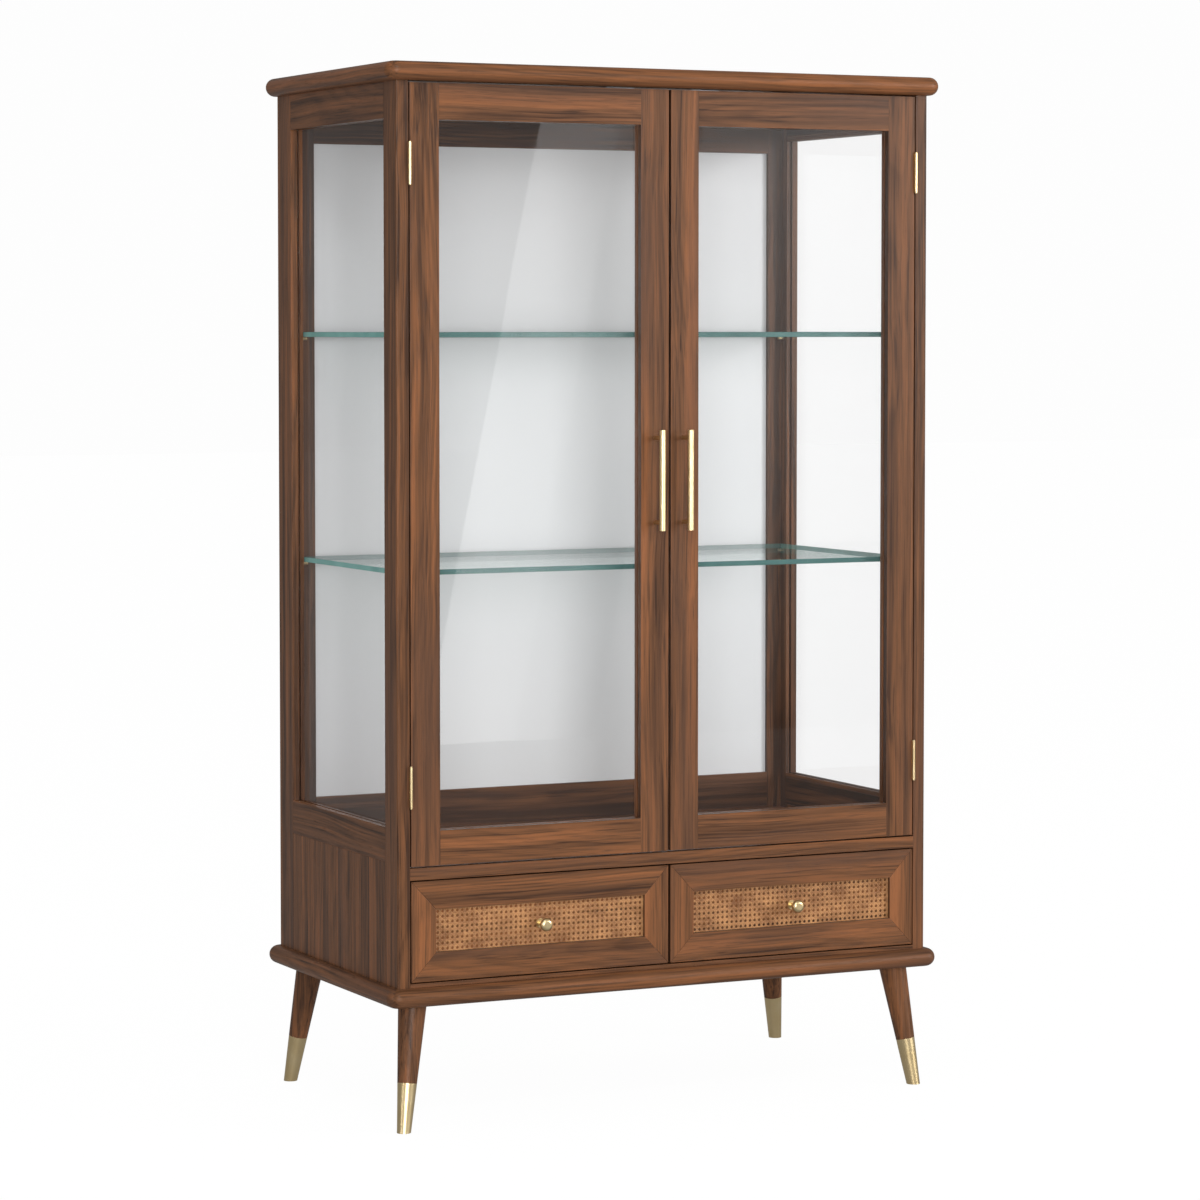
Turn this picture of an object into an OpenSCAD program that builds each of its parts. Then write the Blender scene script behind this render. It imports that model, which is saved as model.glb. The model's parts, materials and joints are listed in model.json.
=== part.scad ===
// China cabinet: a walnut case on four splayed legs, glazed on the front and
// both sides, with two inset doors over two cane-fronted drawers.
// Origin: on the floor under the middle of the case. +X right, +Y back, +Z up.

/* [Case] */
// Width over the side frames
case_w = 900; // [720:10:1100]
// Depth over the side frames
case_d = 474; // [390:2:570]
// Clear height between the base board and the top board
case_h = 1338; // [1110:2:1600]
// Thickness of the top board and the base board
board_t = 28; // [22:1:36]
// Overhang of both boards all round
board_overhang = 18; // [14:1:24]
// Plan radius of the boards' corners
board_corner_r = 20; // [19:1:40]

/* [Joints] */
// Glue line between neighbouring members of one frame
seam = 0.1; // [0.06:0.02:0.3]
// Play round a screw in the piece that it clamps
screw_play = 0.05; // [0.04:0.01:0.2]

/* [Side frames] */
// Thickness of the side frames
side_t = 20; // [18:1:26]
// Width of each front post
front_post_w = 47; // [40:1:60]
// Width of each rear post
rear_post_w = 57; // [45:1:70]
// Height of the rail over a side window
side_top_rail_h = 54; // [30:1:80]
// Height of the rail under a side window
side_bottom_rail_h = 52; // [30:1:80]
// How far the solid lower panel of a side rises past the deck board
side_panel_rise = 6; // [2:1:20]
// Radius on the outer upright edges of the posts
post_edge_r = 2.5; // [1:0.5:5]

/* [Glazing] */
// Thickness of the side and door glass
pane_t = 4; // [3:0.5:5]
// Depth of wood in front of a pane
pane_setback = 10; // [8:1:11]
// Width of the rebate that a pane and its beads sit in
rebate_w = 7; // [5:0.5:8]
// Gap between a pane's edge and its rebate
pane_clearance = 1; // [0.5:0.5:2]

/* [Legs] */
// Height from the floor to the base board
leg_h = 188; // [140:2:240]
// Diameter of a leg at the base board
leg_top_d = 43; // [36:1:52]
// Diameter of a leg at the floor
leg_foot_d = 21; // [18:1:30]
// How far each foot splays outward, both sideways and front to back
leg_splay = 25; // [0:1:40]
// Distance of a leg's centre from the case's side, at the base board
leg_inset_x = 37.7; // [30:0.1:60]
// Distance of a leg's centre from the case's front or back, at the base board
leg_inset_y = 33.8; // [30:0.1:60]
// Length of the brass ferrule on each foot
ferrule_l = 73; // [40:1:100]
// Wall of the ferrule
ferrule_t = 1.2; // [0.8:0.1:2]
// Thickness of the ferrule's closed end
ferrule_end_t = 6; // [5:0.5:10]
// Diameter of the bolt that holds each leg
leg_bolt_d = 8; // [6:1:10]
// Depth of that bolt in the leg
leg_bolt_in_leg = 40; // [25:1:60]
// Depth of that bolt in the base board
leg_bolt_in_board = 18; // [12:1:20]

/* [Deck and divider] */
// Thickness of the deck board over the drawers
deck_t = 18; // [15:1:24]
// Height of the strip under the drawer fronts
sill_h = 6; // [3:1:15]
// Depth of that strip, front to back
sill_d = 20; // [12:1:40]
// Thickness of the upright board between the drawers
divider_t = 18; // [15:1:24]

/* [Back] */
// Thickness of the back frame
back_t = 20; // [18:1:26]
// Distance from the case's rear face to the back frame
back_inset = 20; // [0:1:20]
// Width of the back frame's stiles
back_stile_w = 26; // [22:1:50]
// Height of the back frame's top rail
back_top_rail_h = 74; // [40:1:90]
// How far the back frame's middle rail rises past the deck board
back_mid_rail_rise = 59; // [30:1:80]
// Height of the back frame's bottom rail
back_bottom_rail_h = 40; // [25:1:60]
// Thickness of the back panels
back_panel_t = 6; // [4:1:9]
// Depth of the grooves that hold the back panels
groove_depth = 7; // [4:1:10]
// Gap between a back panel's edge and the bottom of its groove
groove_clearance = 1; // [0.5:0.5:2]

/* [Shelves] */
// Thickness of the glass shelves
shelf_t = 8; // [6:1:10]
// Height of each shelf's underside over the deck board
shelf_rises = [432, 784]; // [300:1:1100]
// Gap between a shelf's end and the side frame
shelf_end_gap = 1.5; // [1:0.5:4]
// Distance from the doors' inner face to the shelf's front edge
shelf_front_gap = 8; // [4:1:30]
// Gap between a shelf's back edge and the back frame
shelf_back_gap = 2; // [1:1:20]
// Diameter of the shelf pins
shelf_pin_d = 5; // [4:0.5:7]
// Length of a shelf pin under the shelf
shelf_pin_reach = 10; // [7:1:15]
// Depth of a shelf pin in its post
shelf_pin_depth = 9; // [6:1:14]
// Distance from a shelf's front or back edge to its pins
shelf_pin_inset = 6; // [4:1:12]

/* [Doors] */
// Thickness of the doors
door_t = 22; // [20:1:28]
// Width of the door stiles
door_stile_w = 47; // [36:1:60]
// Height of the doors' top rails
door_top_rail_h = 54; // [36:1:70]
// Height of the doors' bottom rails
door_bottom_rail_h = 52; // [36:1:70]
// Gap over and under a door
door_gap_z = 2.5; // [1.5:0.5:4]
// Gap between a front and the side frame, for doors and drawers
front_gap_side = 2; // [1.8:0.1:2.4]
// Gap between the two doors, and between the two drawer fronts
front_gap_middle = 4; // [3:0.5:6]

/* [Hinges] */
// Height of a hinge
hinge_h = 60; // [50:1:80]
// Distance from a door's end to the middle of its hinge
hinge_from_end = 118; // [60:1:200]
// Width of a hinge leaf
hinge_leaf_w = 18; // [14:1:19]
// Thickness of a hinge leaf
hinge_leaf_t = 1.6; // [1.4:0.1:2]
// Gap between the two closed leaves
hinge_leaf_gap = 0.4; // [0.4:0.1:0.8]
// Outer diameter of the knuckles
hinge_knuckle_d = 4.6; // [4.2:0.1:4.8]
// Distance from the case's front to the middle of the hinge pin
hinge_pin_proud = 2.8; // [2.7:0.1:4]
// Gap between neighbouring knuckles
hinge_knuckle_gap = 0.4; // [0.3:0.1:0.8]
// Diameter of the hinge pin
hinge_pin_d = 2.4; // [2:0.1:2.6]
// Radial running clearance of the moving knuckles on the pin
hinge_pin_clearance = 0.05; // [0.02:0.01:0.1]
// Diameter and height of the heads at the pin's ends
hinge_pin_head = [3.8, 1.6]; // [1:0.1:4.2]

/* [Handles and knobs] */
// Length of a door handle's bar
handle_l = 152; // [120:1:320]
// Diameter of a door handle's bar
handle_d = 10; // [8:0.5:14]
// Distance between the middles of a handle's two posts
handle_hole_spacing = 128; // [96:32:288]
// Diameter of a handle's posts
handle_post_d = 7; // [5:0.5:8]
// Distance from a door's face to the middle of the bar
handle_reach = 23; // [20:1:40]
// Distance from a door's free edge to its handle
handle_from_edge = 22; // [15:1:30]
// Height of the handles' middle over the doors' bottom edge
handle_rise = 565.5; // [400:0.5:700]
// Diameter of a drawer knob
knob_d = 20; // [16:1:32]
// Distance from the cane to the knob's face
knob_reach = 27; // [20:1:40]
// Height of the knob's round head
knob_head_h = 11; // [8:1:14]
// Diameter of the knob's stem
knob_stem_d = 8; // [6:1:12]
// Diameter of the handle and knob screws
fitting_screw_d = 4; // [3:0.5:5]
// Diameter and height of those screws' heads
fitting_screw_head = [8, 2.4]; // [2:0.1:9]

/* [Catches] */
// Width, depth and height of a magnetic catch
catch_size = [46, 16, 13]; // [10:1:60]
// Distance from a door's free edge to the middle of its catch
catch_from_edge = 70; // [40:5:150]
// Width, thickness and height of the steel strike on a door
strike_size = [34, 1.2, 11]; // [1:0.1:45]
// Distance from a door's top edge down to its strike
strike_drop = 0.5; // [0:0.5:2]
// Gap between a closed door's strike and its catch
catch_gap = 0.5; // [0.4:0.1:1]

/* [Drawers] */
// Height of the drawer fronts
drawer_front_h = 150; // [120:2:200]
// Thickness of the drawer fronts
drawer_front_t = 20; // [18:1:24]
// Gap over and under a drawer front
drawer_gap_z = 2; // [1.5:0.5:4]
// Width of a drawer front's upright frame members
drawer_stile_w = 40; // [30:1:50]
// Height of a drawer front's level frame members
drawer_rail_h = 43; // [30:1:50]
// Depth of the cane behind the frame's face
cane_setback = 6; // [3:0.5:8]
// Thickness of the cane webbing
cane_t = 1.8; // [1:0.2:3]
// Width of the rebate that the cane and its backing board sit in
cane_rebate_w = 9; // [6:1:12]
// Gap between the edge of the cane or its backing board and the rebate
cane_clearance = 0.5; // [0.2:0.1:1]
// Thickness of a drawer box's sides, front and back
box_t = 12; // [10:1:15]
// Height of a drawer box
box_h = 108; // [80:2:120]
// Height of a drawer box's underside over the base board
box_rise = 20; // [15:1:30]
// Depth of a drawer box, front to back
box_d = 400; // [300:10:420]
// Thickness of a drawer's bottom
box_bottom_t = 6; // [4:1:9]
// Height of the bottom's groove over a drawer box's underside
box_bottom_rise = 10; // [8:1:15]
// Depth of the groove that holds the bottom
box_groove = 6; // [4:1:8]

/* [Drawer slides] */
// Space for a slide between a drawer box and the case
slide_space = 12.7; // [12.7:0.1:14]
// Length of a slide
slide_l = 400; // [300:10:420]
// Height of a slide
slide_h = 45; // [35:1:46]
// Thickness of a slide's steel
slide_steel = 1.2; // [1:0.1:1.5]
// Gap between the members of a slide
slide_play = 0.5; // [0.4:0.1:0.6]

/* [Hidden] */

$fn = 64;
walnut = [0.44, 0.31, 0.22];
walnut_dark = [0.33, 0.22, 0.15];
walnut_box = [0.52, 0.39, 0.28];
brass = [0.83, 0.70, 0.47];
steel = [0.62, 0.63, 0.65];
glass = [0.70, 0.82, 0.80, 0.35];
pale_panel = [0.80, 0.81, 0.81];
cane_straw = [0.78, 0.60, 0.46];
left = -1;
right = 1;
slop = 1;

half_w = case_w / 2;
half_d = case_d / 2;
inner_x = half_w - side_t;
base_z = leg_h;
body_z = base_z + board_t;
body_top_z = body_z + case_h;
front_y = -half_d;
door_back_y = front_y + door_t;
back_rear_y = half_d - back_inset;
back_front_y = back_rear_y - back_t;

drawer_z = body_z + sill_h + drawer_gap_z;
deck_z = drawer_z + drawer_front_h + drawer_gap_z;
deck_top_z = deck_z + deck_t;
side_panel_top_z = deck_top_z + side_panel_rise;
window_y = [front_y + front_post_w, half_d - rear_post_w];
window_z = [side_panel_top_z + side_bottom_rail_h, body_top_z - side_top_rail_h];

front_x = [front_gap_middle / 2, inner_x - front_gap_side];
door_z = [deck_top_z + door_gap_z, body_top_z - door_gap_z];
door_window_x = [front_x[0] + door_stile_w, front_x[1] - door_stile_w];
door_window_z = [door_z[0] + door_bottom_rail_h, door_z[1] - door_top_rail_h];

back_stile_x = inner_x - back_stile_w;
back_panel_y = back_rear_y - back_t / 2 - back_panel_t / 2;
back_mid_rail_z = [deck_z, deck_top_z + back_mid_rail_rise];
back_window_z = [back_mid_rail_z[1], body_top_z - back_top_rail_h];
back_lower_z = [body_z + back_bottom_rail_h, back_mid_rail_z[0]];

shelf_zs = [for (rise = shelf_rises) deck_top_z + rise];
shelf_y = [door_back_y + shelf_front_gap, back_front_y - shelf_back_gap];
// The shelf pins stay clear of the window rebate.
shelf_pin_clear = rebate_w + shelf_pin_d / 2 + 1;
shelf_pin_ys = [
  min(shelf_y[0] + shelf_pin_inset, window_y[0] - shelf_pin_clear),
  max(shelf_y[1] - shelf_pin_inset, window_y[1] + shelf_pin_clear)];

hinge_x = inner_x - front_gap_side / 2;
hinge_y = front_y - hinge_pin_proud;
hinge_zs = [door_z[0] + hinge_from_end, door_z[1] - hinge_from_end];
hinge_mortise = hinge_leaf_t + hinge_leaf_gap / 2 - front_gap_side / 2;
hinge_screw_dz = 18;
hinge_screw_dy = hinge_leaf_w / 2;
hinge_screw_d = 3;
hinge_screw_l = 14;
hinge_screw_head_d = 6;
knuckle_count = 5;
knuckle_h = (hinge_h - (knuckle_count - 1) * hinge_knuckle_gap) / knuckle_count;
knuckle_pitch = knuckle_h + hinge_knuckle_gap;

handle_x = front_x[0] + handle_from_edge;
handle_z = door_z[0] + handle_rise;
handle_post_zs = [handle_z - handle_hole_spacing / 2, handle_z + handle_hole_spacing / 2];
handle_screw_grip = 10;

catch_x = front_x[0] + catch_from_edge;
strike_top_z = door_z[1] - strike_drop;

drawer_top_z = drawer_z + drawer_front_h;
drawer_back_y = front_y + drawer_front_t;
cane_y = front_y + cane_setback;
mitre_seam = 1.5 * seam;
cane_x = [front_x[0] + drawer_stile_w, front_x[1] - drawer_stile_w];
cane_z = [drawer_z + drawer_rail_h, drawer_top_z - drawer_rail_h];
bay_x = [divider_t / 2, inner_x];
box_x = [bay_x[0] + slide_space, bay_x[1] - slide_space];
box_z = body_z + box_rise;
knob_x = (front_x[0] + front_x[1]) / 2;
knob_z = drawer_z + drawer_front_h / 2;
slide_z = box_z + box_h / 2;
slide_walls = [[bay_x[0], 1], [bay_x[1], -1]]; // each wall of a bay, and the way in from it
divider_gap = 1;
slide_lip = slide_space - 2.7;
slide_middle_h = slide_h - 2 * slide_steel - 2 * slide_play;
slide_inner_h = slide_middle_h - 2 * slide_steel - 2 * slide_play;

// Everything is drawn on the right-hand side; a left-hand piece is its mirror image.
module on_side(side) {
  if (side == left) mirror([1, 0, 0]) children();
  else children();
}

// A box given by its two opposite corners.
module block(low, high) {
  translate(low) cube(high - low);
}

// A round bar along X from x0 to x1, centred at y and z.
module bar_x(x0, x1, y, z, d) {
  translate([x0, y, z]) rotate([0, 90, 0]) cylinder(h = x1 - x0, d = d);
}

// A round bar along Y from y0 to y1, centred at x and z.
module bar_y(y0, y1, x, z, d) {
  translate([x, y0, z]) rotate([-90, 0, 0]) cylinder(h = y1 - y0, d = d);
}

// --- Top and base boards: full bullnose edges, rounded corners in plan

// The half-round edge in section, from the line of the corners' centres outward.
module bullnose_section() {
  straight = board_corner_r - board_t / 2;
  square([straight, board_t]);
  translate([straight, board_t / 2]) intersection() {
    circle(d = board_t);
    translate([0, -board_t / 2]) square([board_t / 2, board_t]);
  }
}

module bullnose_board(z) {
  x_mid = half_w + board_overhang - board_corner_r;
  y_mid = half_d + board_overhang - board_corner_r;
  translate([0, 0, z]) {
    block([-x_mid, -y_mid, 0], [x_mid, y_mid, board_t]);
    for (turn = [0, 180]) rotate([0, 0, turn]) {
      translate([x_mid, y_mid, 0]) rotate([90, 0, 0]) linear_extrude(2 * y_mid) bullnose_section();
      translate([-x_mid, y_mid, 0]) rotate([90, 0, 90]) linear_extrude(2 * x_mid) bullnose_section();
      translate([x_mid, y_mid, 0]) rotate_extrude(angle = 90) bullnose_section();
      translate([-x_mid, y_mid, 0]) rotate([0, 0, 90]) rotate_extrude(angle = 90) bullnose_section();
    }
  }
}

module top_board() {
  color(walnut) bullnose_board(body_top_z);
}

module base_board() {
  color(walnut) difference() {
    bullnose_board(base_z);
    for (side = [left, right], end = [-1, 1]) leg_bolt(side, end);
  }
}

// --- Side frames: posts, rails, lower panels, glass and beads

// The window rebate of a side frame, cut from its inner face.
module side_rebate() {
  block(
    [half_w - side_t - slop, window_y[0] - rebate_w, window_z[0] - rebate_w],
    [half_w - pane_setback, window_y[1] + rebate_w, window_z[1] + rebate_w]);
}

// A post drawn from y = 0 inward to y = width, its rounded outer edge at y = 0.
module post_outline(width) {
  translate([0, post_edge_r]) square([side_t, width - post_edge_r]);
  square([side_t - post_edge_r, width]);
  translate([side_t - post_edge_r, post_edge_r]) circle(r = post_edge_r);
}

module front_post(side) {
  color(walnut) on_side(side) difference() {
    translate([inner_x, front_y, body_z]) linear_extrude(case_h) post_outline(front_post_w);
    side_rebate();
    for (z = hinge_zs) {
      block(
        [inner_x - slop, front_y - slop, z - hinge_h / 2],
        [inner_x + hinge_mortise, front_y + hinge_leaf_w, z + hinge_h / 2]);
      hinge_screws(z, 1);
    }
    shelf_pin_holes(shelf_pin_ys[0]);
  }
}

module rear_post(side) {
  color(walnut) on_side(side) difference() {
    translate([inner_x, half_d, body_z]) linear_extrude(case_h)
      mirror([0, 1]) post_outline(rear_post_w);
    side_rebate();
    shelf_pin_holes(shelf_pin_ys[1]);
  }
}

module side_rails(side) {
  color(walnut) on_side(side) difference() {
    union() {
      block([inner_x, window_y[0], side_panel_top_z], [half_w, window_y[1], window_z[0]]);
      block([inner_x, window_y[0], window_z[1]], [half_w, window_y[1], body_top_z]);
    }
    side_rebate();
  }
}

module side_panel(side) {
  color(walnut) on_side(side)
    block([inner_x, window_y[0], body_z], [half_w, window_y[1], side_panel_top_z]);
}

module side_glass(side) {
  reach = rebate_w - pane_clearance;
  color(glass) on_side(side) block(
    [half_w - pane_setback - pane_t, window_y[0] - reach, window_z[0] - reach],
    [half_w - pane_setback, window_y[1] + reach, window_z[1] + reach]);
}

module side_glass_beads() {
  x0 = inner_x;
  x1 = half_w - pane_setback - pane_t;
  color(walnut_dark) for (side = [left, right]) on_side(side) {
    for (z = [window_z[0] - rebate_w, window_z[1]])
      block([x0, window_y[0] + seam, z], [x1, window_y[1] - seam, z + rebate_w]);
    for (y = [window_y[0] - rebate_w, window_y[1]])
      block([x0, y, window_z[0] - rebate_w], [x1, y + rebate_w, window_z[1] + rebate_w]);
  }
}

// --- Deck board, drawer sill and divider

module deck_board() {
  color(walnut) block([-inner_x, front_y, deck_z], [inner_x, back_front_y, deck_top_z]);
}

module drawer_sill() {
  color(walnut)
    block([-inner_x, front_y, body_z], [inner_x, front_y + sill_d, body_z + sill_h]);
}

module drawer_divider() {
  color(walnut_dark) block(
    [-divider_t / 2, max(drawer_back_y, front_y + sill_d) + divider_gap, body_z],
    [divider_t / 2, back_front_y, deck_z]);
}

// --- Back: grooved frame, pale upper panel, lower panel behind the drawers

module back_panel_blank(z_range, clearance) {
  reach = groove_depth - clearance;
  x = back_stile_x + reach;
  block(
    [-x, back_panel_y, z_range[0] - reach],
    [x, back_panel_y + back_panel_t, z_range[1] + reach]);
}

module back_frame() {
  rail_x = back_stile_x - seam;
  rails_z = [[body_z, back_lower_z[0]], back_mid_rail_z, [back_window_z[1], body_top_z]];
  color(walnut) difference() {
    union() {
      for (side = [left, right]) on_side(side)
        block([back_stile_x, back_front_y, body_z], [inner_x, back_rear_y, body_top_z]);
      for (z = rails_z) block([-rail_x, back_front_y, z[0]], [rail_x, back_rear_y, z[1]]);
    }
    back_panel_blank(back_window_z, 0);
    back_panel_blank(back_lower_z, 0);
  }
}

module back_panel() {
  color(pale_panel) back_panel_blank(back_window_z, groove_clearance);
}

module lower_back_panel() {
  color(walnut_dark) back_panel_blank(back_lower_z, groove_clearance);
}

// --- Glass shelves on brass pins

module shelf(z) {
  x = inner_x - shelf_end_gap;
  color(glass) block([-x, shelf_y[0], z], [x, shelf_y[1], z + shelf_t]);
}

module shelf_pin_holes(y) {
  for (z = shelf_zs)
    bar_x(inner_x - slop, inner_x + shelf_pin_depth, y, z - shelf_pin_d / 2, shelf_pin_d);
}

module shelf_pins() {
  color(brass) for (side = [left, right], y = shelf_pin_ys, z = shelf_zs) on_side(side)
    bar_x(inner_x - shelf_pin_reach, inner_x + shelf_pin_depth,
      y, z - shelf_pin_d / 2, shelf_pin_d);
}

// --- Legs: splayed tapered legs in brass ferrules, each held by a bolt

// Places its children on a leg's axis, running up from the middle of the foot.
module on_leg_axis(side, end) {
  tilt = atan(sqrt(2) * leg_splay / leg_h);
  foot_x = half_w - leg_inset_x + leg_splay;
  foot_y = half_d - leg_inset_y + leg_splay;
  translate([side * foot_x, end * foot_y, 0])
    rotate([0, 0, atan2(-end, -side)]) rotate([0, tilt, 0]) children();
}

leg_axis_l = sqrt(leg_h * leg_h + 2 * leg_splay * leg_splay);
function leg_r(s) = leg_foot_d / 2 + (leg_top_d - leg_foot_d) / 2 * s / leg_axis_l;

// A length of the leg's taper from s0 to s1 along its axis, thinner by inset.
module leg_taper(s0, s1, inset) {
  translate([0, 0, s0]) cylinder(h = s1 - s0, r1 = leg_r(s0) - inset, r2 = leg_r(s1) - inset);
}

module leg_slab(z0, z1) {
  reach = half_w + board_overhang + leg_splay;
  block([-reach, -reach, z0], [reach, reach, z1]);
}

module leg_bolt(side, end) {
  translate([side * (half_w - leg_inset_x), end * (half_d - leg_inset_y), base_z - leg_bolt_in_leg])
    cylinder(h = leg_bolt_in_leg + leg_bolt_in_board, d = leg_bolt_d);
}

module leg(side, end) {
  color(walnut) difference() {
    intersection() {
      on_leg_axis(side, end) {
        leg_taper(ferrule_l, leg_axis_l + leg_top_d / 2, 0);
        leg_taper(ferrule_end_t, ferrule_l, ferrule_t);
      }
      leg_slab(0, base_z);
    }
    leg_bolt(side, end);
  }
}

module ferrules() {
  color(brass) for (side = [left, right], end = [-1, 1]) intersection() {
    on_leg_axis(side, end) difference() {
      leg_taper(-leg_foot_d / 2, ferrule_l, 0);
      leg_taper(ferrule_end_t, ferrule_l, ferrule_t);
    }
    leg_slab(0, base_z);
  }
}

module leg_bolts() {
  color(steel) for (side = [left, right], end = [-1, 1]) leg_bolt(side, end);
}

// --- Butt hinges: knuckles 0, 2 and 4 on the post's leaf, 1 and 3 on the door's

// One leaf with its knuckles; x_side is 1 for the post's leaf and -1 for the door's.
module hinge_leaf(z, x_side, knuckles, bore_d) {
  x0 = x_side > 0 ? hinge_leaf_gap / 2 : -hinge_leaf_gap / 2 - hinge_leaf_t;
  translate([hinge_x, hinge_y, z - hinge_h / 2]) difference() {
    union() {
      block([x0, hinge_pin_proud, 0], [x0 + hinge_leaf_t, hinge_pin_proud + hinge_leaf_w, hinge_h]);
      for (k = knuckles) translate([0, 0, k * knuckle_pitch]) {
        cylinder(h = knuckle_h, d = hinge_knuckle_d);
        block([x0, 0, 0], [x0 + hinge_leaf_t, hinge_pin_proud, knuckle_h]);
      }
    }
    translate([0, 0, -slop]) cylinder(h = hinge_h + 2 * slop, d = bore_d);
    for (dz = [-hinge_screw_dz, hinge_screw_dz])
      translate([x_side > 0 ? hinge_leaf_gap / 2 : -hinge_leaf_gap / 2,
        hinge_pin_proud + hinge_screw_dy, hinge_h / 2 + dz])
        rotate([0, x_side * 90, 0]) hinge_screw(screw_play);
  }
}

// A countersunk screw running along +Z, its flat head at z = 0; play widens it all round.
module hinge_screw(play) {
  head_h = (hinge_screw_head_d - hinge_screw_d) / 2;
  head_r = hinge_screw_head_d / 2 + play;
  shank_r = hinge_screw_d / 2 + play;
  rotate_extrude() polygon([
    [0, -play], [head_r, -play], [head_r, 0], [shank_r, head_h],
    [shank_r, hinge_screw_l], [0, hinge_screw_l]]);
}

module hinge_screws(z, x_side) {
  for (dz = [-hinge_screw_dz, hinge_screw_dz])
    translate([hinge_x + x_side * hinge_leaf_gap / 2, front_y + hinge_screw_dy, z + dz])
      rotate([0, x_side * 90, 0]) hinge_screw(0);
}

module hinge_post_leaves() {
  color(brass) for (side = [left, right], z = hinge_zs) on_side(side)
    hinge_leaf(z, 1, [0, 2, 4], hinge_pin_d);
}

module hinge_post_screws() {
  color(brass) for (side = [left, right], z = hinge_zs) on_side(side) hinge_screws(z, 1);
}

module hinge_pins() {
  color(brass) for (side = [left, right], z = hinge_zs) on_side(side)
    translate([hinge_x, hinge_y, z - hinge_h / 2]) {
      cylinder(h = hinge_h, d = hinge_pin_d);
      for (end_z = [-hinge_pin_head[1], hinge_h])
        translate([0, 0, end_z]) cylinder(h = hinge_pin_head[1], d = hinge_pin_head[0]);
    }
}

module door_hinge_leaves(side) {
  color(brass) on_side(side) for (z = hinge_zs) {
    hinge_leaf(z, -1, [1, 3], hinge_pin_d + 2 * hinge_pin_clearance);
    hinge_screws(z, -1);
  }
}

// --- Doors

module door_rebate() {
  block(
    [door_window_x[0] - rebate_w, front_y + pane_setback, door_window_z[0] - rebate_w],
    [door_window_x[1] + rebate_w, door_back_y + slop, door_window_z[1] + rebate_w]);
}

module door_stiles(side) {
  color(walnut) on_side(side) difference() {
    union() {
      block([front_x[0], front_y, door_z[0]], [door_window_x[0], door_back_y, door_z[1]]);
      block([door_window_x[1], front_y, door_z[0]], [front_x[1], door_back_y, door_z[1]]);
    }
    door_rebate();
    for (z = hinge_zs) {
      block(
        [front_x[1] - hinge_mortise, front_y - slop, z - hinge_h / 2],
        [front_x[1] + slop, front_y + hinge_leaf_w, z + hinge_h / 2]);
      hinge_screws(z, -1);
    }
    for (z = handle_post_zs) bar_y(front_y - slop, door_back_y + slop, handle_x, z, fitting_screw_d);
  }
}

module door_rails(side) {
  color(walnut) on_side(side) difference() {
    union() for (z = [[door_z[0], door_window_z[0]], [door_window_z[1], door_z[1]]])
      block([door_window_x[0], front_y, z[0]], [door_window_x[1], door_back_y, z[1]]);
    door_rebate();
  }
}

module door_glass(side) {
  reach = rebate_w - pane_clearance;
  color(glass) on_side(side) block(
    [door_window_x[0] - reach, front_y + pane_setback, door_window_z[0] - reach],
    [door_window_x[1] + reach, front_y + pane_setback + pane_t, door_window_z[1] + reach]);
}

module door_beads(side) {
  y0 = front_y + pane_setback + pane_t;
  color(walnut_dark) on_side(side) {
    for (z = [door_window_z[0] - rebate_w, door_window_z[1]])
      block([door_window_x[0] + seam, y0, z],
        [door_window_x[1] - seam, door_back_y, z + rebate_w]);
    for (x = [door_window_x[0] - rebate_w, door_window_x[1]])
      block([x, y0, door_window_z[0] - rebate_w],
        [x + rebate_w, door_back_y, door_window_z[1] + rebate_w]);
  }
}

module door_handle(side) {
  y = front_y - handle_reach;
  color(brass) on_side(side) {
    difference() {
      union() {
        translate([handle_x, y, handle_z - handle_l / 2]) cylinder(h = handle_l, d = handle_d);
        for (z = handle_post_zs) bar_y(y, front_y, handle_x, z, handle_post_d);
      }
      for (z = handle_post_zs) bar_y(front_y - handle_screw_grip - screw_play, front_y + slop,
        handle_x, z, fitting_screw_d + 2 * screw_play);
    }
    for (z = handle_post_zs)
      fitting_screw(handle_x, front_y - handle_screw_grip, door_back_y, z);
  }
}

// A screw along Y from its tip at y0 to the underside of its head at y1.
module fitting_screw(x, y0, y1, z) {
  bar_y(y0, y1, x, z, fitting_screw_d);
  bar_y(y1, y1 + fitting_screw_head[1], x, z, fitting_screw_head[0]);
}

// --- Magnetic catches under the top board, and the strikes on the doors

module door_catches() {
  y0 = door_back_y + strike_size[1] + catch_gap;
  color(steel) for (side = [left, right]) on_side(side) block(
    [catch_x - catch_size[0] / 2, y0, body_top_z - catch_size[2]],
    [catch_x + catch_size[0] / 2, y0 + catch_size[1], body_top_z]);
}

module door_strike(side) {
  color(steel) on_side(side) block(
    [catch_x - strike_size[0] / 2, door_back_y, strike_top_z - strike_size[2]],
    [catch_x + strike_size[0] / 2, door_back_y + strike_size[1], strike_top_z]);
}

// --- Drawers: mitred front with a cane panel, box, bottom and knob

// The front's four members in outline, with mitres that run from corner to corner.
module drawer_front_rail(z_outer, z_inner) {
  polygon([[front_x[0], z_outer], [front_x[1], z_outer], [cane_x[1], z_inner], [cane_x[0], z_inner]]);
}

module drawer_front_stile(x_outer, x_inner) {
  polygon([
    [x_outer, drawer_z + mitre_seam], [x_inner, cane_z[0] + mitre_seam],
    [x_inner, cane_z[1] - mitre_seam], [x_outer, drawer_top_z - mitre_seam]]);
}

// The recess behind the front's opening, which holds the cane and its backing board.
module cane_recess(y0, y1, clearance) {
  reach = cane_rebate_w - clearance;
  block([cane_x[0] - reach, y0, cane_z[0] - reach], [cane_x[1] + reach, y1, cane_z[1] + reach]);
}

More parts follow.
